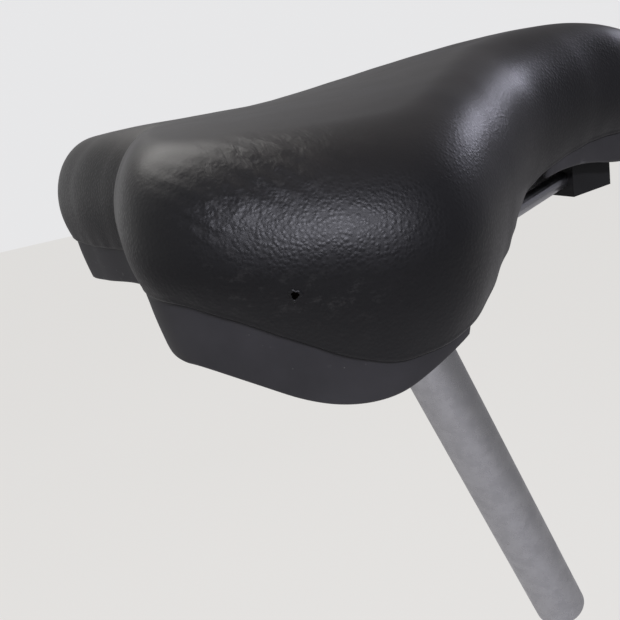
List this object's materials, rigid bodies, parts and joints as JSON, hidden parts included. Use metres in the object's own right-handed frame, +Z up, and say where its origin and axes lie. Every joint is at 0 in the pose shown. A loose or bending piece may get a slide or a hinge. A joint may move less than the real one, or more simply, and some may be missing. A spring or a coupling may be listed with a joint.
{
  "type": "padded bicycle saddle on a seat post",
  "caption": "Padded black saddle with two rear lobes, a moulded skirt, coil springs and wire rails, held by a tilting, sliding clamp on a round steel seat post.",
  "frame": {"origin": "on the seat post's axis, where the post enters the bicycle frame", "axes": "+X forward to the nose, +Y to the rider's left, +Z up with the saddle level; the post leans back at 69 degrees from level"},
  "size_m": [0.2674, 0.218, 0.2907],
  "materials": {
    "cover_vinyl": "grained black vinyl, worn smooth and faintly brown on top",
    "skirt_moulding": "smooth black moulded plastic with scratches and pale specks",
    "black_moulding": "matt black moulded plastic",
    "rail_steel": "plated wire with dull spots",
    "spring_steel": "dull plated spring wire",
    "plated_steel": "zinc plated, dulled and dusty",
    "post_steel": "plated tube, scuffed along its length"
  },
  "bodies": {
    "post": {"seat_post": "post_steel", "clamp_band": "plated_steel", "clamp_bolt": "plated_steel", "clamp_nut": "plated_steel", "bolt_washer_left": "plated_steel", "bolt_washer_right": "plated_steel"},
    "clamp": {"inner_cup_left": "plated_steel", "inner_cup_right": "plated_steel", "outer_cup_left": "plated_steel", "outer_cup_right": "plated_steel"},
    "saddle": {"cover": "cover_vinyl", "base_pan": "black_moulding", "rear_skirt": "skirt_moulding", "nose_bumper": "skirt_moulding", "nose_bracket": "black_moulding", "rail_left": "rail_steel", "rail_right": "rail_steel", "rear_bridge": "plated_steel", "spring_left": "spring_steel", "spring_right": "spring_steel", "spring_seat_left": "black_moulding", "spring_seat_right": "black_moulding", "spring_bolt_left": "plated_steel", "spring_bolt_right": "plated_steel"}
  },
  "joints": [
    {"name": "saddle_tilt", "type": "hinge", "parent": "post", "child": "clamp", "pos_m": [-0.02942, 0, 0.02084], "axis": [0, 1, 0], "range_deg": [-20, 15]},
    {"name": "saddle_slide", "type": "slide", "parent": "clamp", "child": "saddle", "axis": [1, 0, 0], "range_m": [-0.012, 0.012]}
  ]
}
